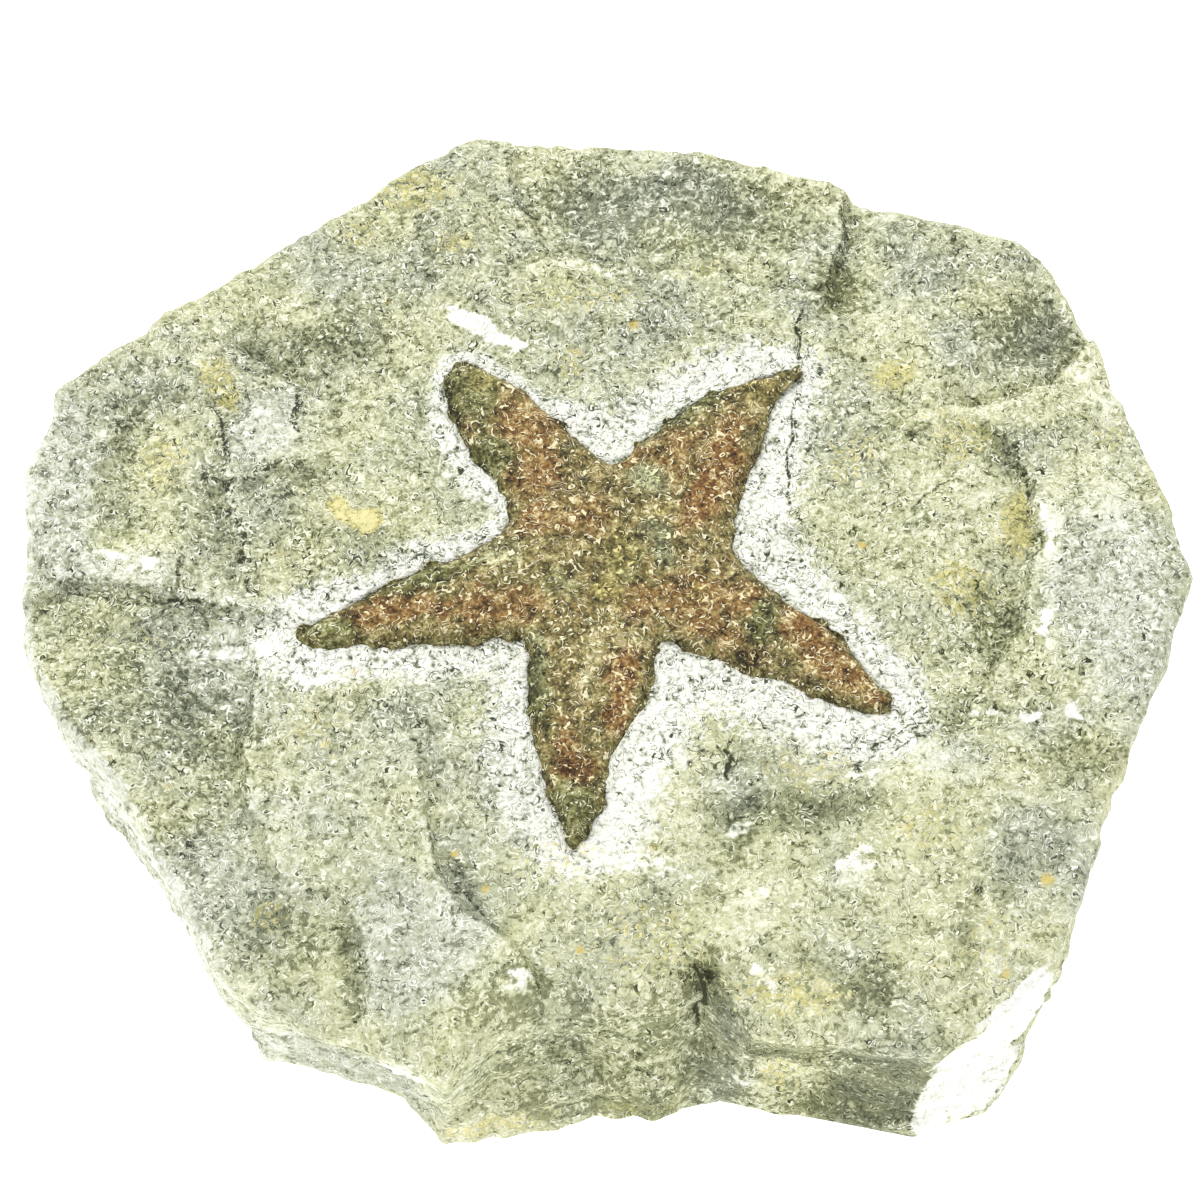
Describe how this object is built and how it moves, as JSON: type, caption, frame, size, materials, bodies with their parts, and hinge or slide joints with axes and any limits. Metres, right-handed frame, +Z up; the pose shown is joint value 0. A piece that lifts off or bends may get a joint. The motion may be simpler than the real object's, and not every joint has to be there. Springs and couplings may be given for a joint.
{
  "type": "fossil starfish in a sandstone slab",
  "caption": "Small fossil starfish with tapering arms, seated in the upper face of a loose, rough slab of greenish grey sandstone that rests flat.",
  "frame": {"origin": "middle of the slab's bounding box on its flat underside", "axes": "+Z up out of the fossil face, the slab's thinnest direction; +X along its longest side; +Y to the slab's far side, with one arm of the starfish pointing to -Y"},
  "size_m": [0.0935, 0.0875, 0.0193],
  "materials": {
    "sandstone": null,
    "fossil_crust": "matte, granular iron-stained mineral crust, rust brown with olive arm tips; nearest dull non-metal"
  },
  "bodies": {
    "root": {"matrix_slab": "sandstone", "starfish": "fossil_crust"}
  },
  "joints": []
}
